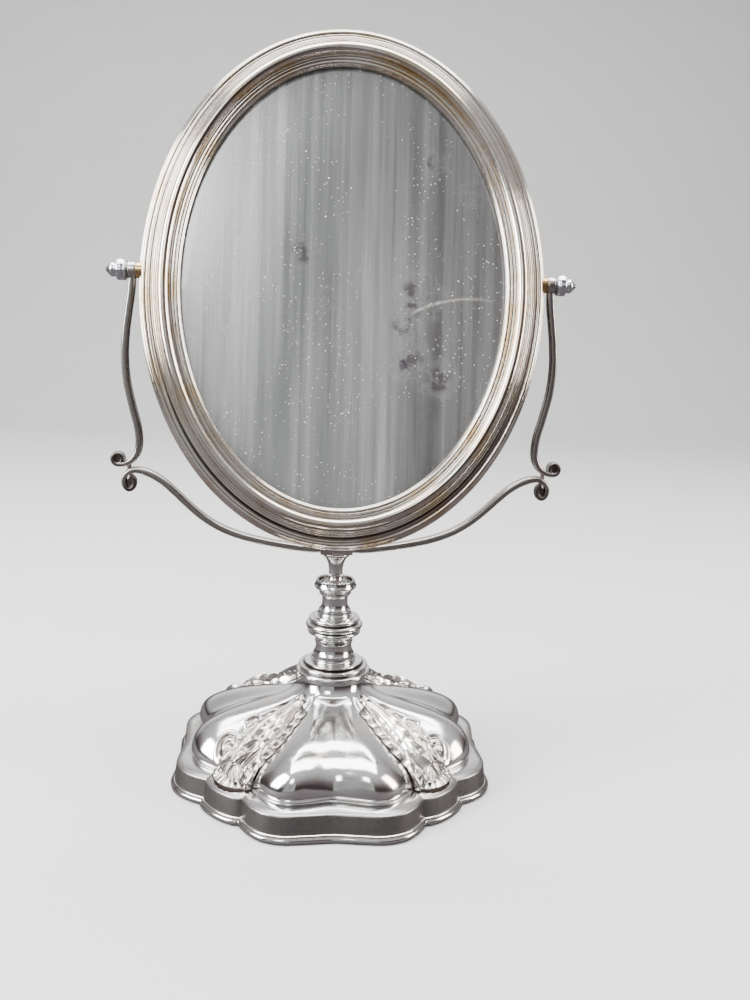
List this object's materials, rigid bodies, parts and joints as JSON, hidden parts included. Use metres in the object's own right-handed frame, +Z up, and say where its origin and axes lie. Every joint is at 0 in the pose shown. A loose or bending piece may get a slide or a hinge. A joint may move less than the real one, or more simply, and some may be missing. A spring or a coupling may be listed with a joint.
{
  "type": "table mirror",
  "caption": "Oval tilting table mirror: deep moulded frame between the scrolled arms of a yoke, on a turned stem and a lobed, weighted base with leaf ornaments at its corners.",
  "frame": {"origin": "middle of the base's underside, on the resting plane", "axes": "+Z up, the mirror looks towards -Y, +X to the right along the pivot axis"},
  "size_m": [0.255, 0.183, 0.4172],
  "materials": {
    "silver_plate": "polished silver plate, aged, with warm tarnish and brass wear on the high edges",
    "brass": "dull turned brass",
    "steel": "plain turned steel",
    "iron": "as cast",
    "felt": "green baize",
    "wood": "plain beech",
    "back_board": "dark stained and waxed board",
    "mirror_glass": "silvered glass, foxed and streaked with age",
    "packing": "plain grey board"
  },
  "bodies": {
    "stand": {"base_shell": "silver_plate", "foot_rim": "silver_plate", "corner_mount_front_left": "silver_plate", "corner_mount_front_right": "silver_plate", "corner_mount_back_left": "silver_plate", "corner_mount_back_right": "silver_plate", "bottom_plate": "steel", "plate_screws": "brass", "felt_pad": "felt", "base_weight": "iron", "tie_rod": "steel", "tie_rod_washer": "steel", "tie_rod_nut": "steel", "collar_ring": "silver_plate", "lower_vase": "silver_plate", "centre_knop": "silver_plate", "upper_vase": "silver_plate", "cup_ring": "silver_plate", "stem_trumpet": "silver_plate", "yoke_hub": "silver_plate", "lower_arm_left": "silver_plate", "lower_arm_right": "silver_plate", "upper_arm_left": "silver_plate", "upper_arm_right": "silver_plate", "arm_rivet_left": "steel", "arm_rivet_right": "steel", "eye_bush_left": "brass", "eye_bush_right": "brass"},
    "mirror_head": {"front_moulding": "silver_plate", "outer_rim": "silver_plate", "wood_liner": "wood", "mirror_glass": "mirror_glass", "glass_packing": "packing", "back_panel": "back_board", "panel_screws": "brass", "pivot_boss_left": "brass", "pivot_boss_right": "brass", "pivot_stud_left": "steel", "pivot_stud_right": "steel", "spring_washer_left": "steel", "spring_washer_right": "steel"},
    "left_nut": {"thumb_nut_left": "silver_plate"},
    "right_nut": {"thumb_nut_right": "silver_plate"}
  },
  "joints": [
    {"name": "mirror_tilt", "type": "hinge", "parent": "stand", "child": "mirror_head", "pos_m": [0, 0, 0.286], "axis": [1, 0, 0], "continuous": true},
    {"name": "left_nut_turn", "type": "hinge", "parent": "mirror_head", "child": "left_nut", "pos_m": [-0.122, 0, 0.286], "axis": [-1, 0, 0], "range_deg": [0, 720]},
    {"name": "right_nut_turn", "type": "hinge", "parent": "mirror_head", "child": "right_nut", "pos_m": [0.122, 0, 0.286], "axis": [1, 0, 0], "range_deg": [0, 720]}
  ]
}
